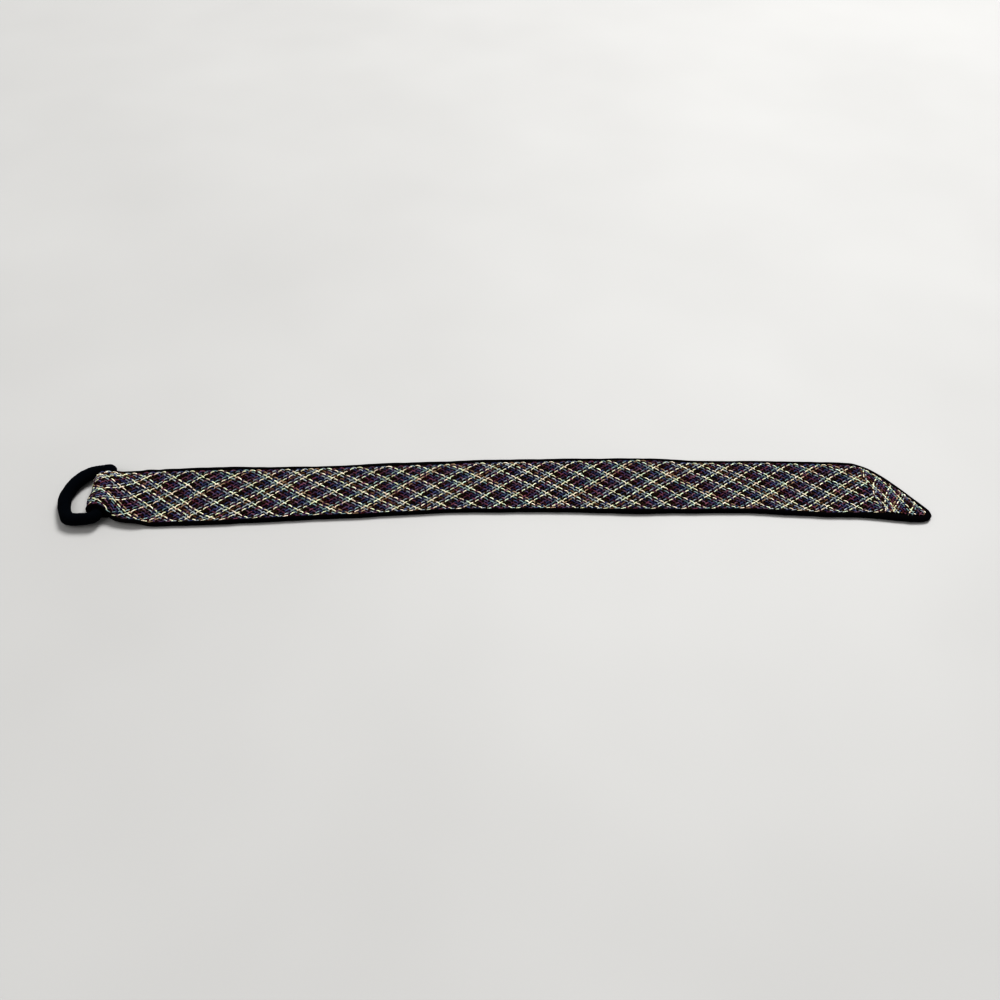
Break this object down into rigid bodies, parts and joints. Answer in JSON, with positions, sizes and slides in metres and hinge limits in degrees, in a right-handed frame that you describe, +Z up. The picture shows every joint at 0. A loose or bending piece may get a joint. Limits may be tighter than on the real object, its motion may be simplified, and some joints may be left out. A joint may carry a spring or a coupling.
{
  "type": "cinch belt",
  "caption": "Broad flat braided waist strap with rolled edges, gathered round a padded D ring at one end and cut to a slanted point at the other.",
  "frame": {"origin": "on the surface that the belt lies on, below the middle of its bounding box", "axes": "+X along the belt from the ring to the point, +Y across it, +Z up out of the braided face"},
  "size_m": [1.0693, 0.1166, 0.0248],
  "materials": {
    "ring_fabric": "black napped fabric with a faint dark blue sheen",
    "strap_fabric": "matte black knit",
    "braid_yarn": "many-coloured soft yarn, flat oblique braid"
  },
  "bodies": {
    "strap": {"loop_backing": "strap_fabric", "loop_braid": "braid_yarn", "backing": "strap_fabric", "braid_panel": "braid_yarn", "tip_panel": "braid_yarn"},
    "ring": {"ring": "ring_fabric"}
  },
  "joints": [
    {"name": "ring_swing", "type": "hinge", "parent": "strap", "child": "ring", "pos_m": [-0.48298, -0.0107, 0.0116], "axis": [0, 1, 0], "range_deg": [0, 150]}
  ]
}
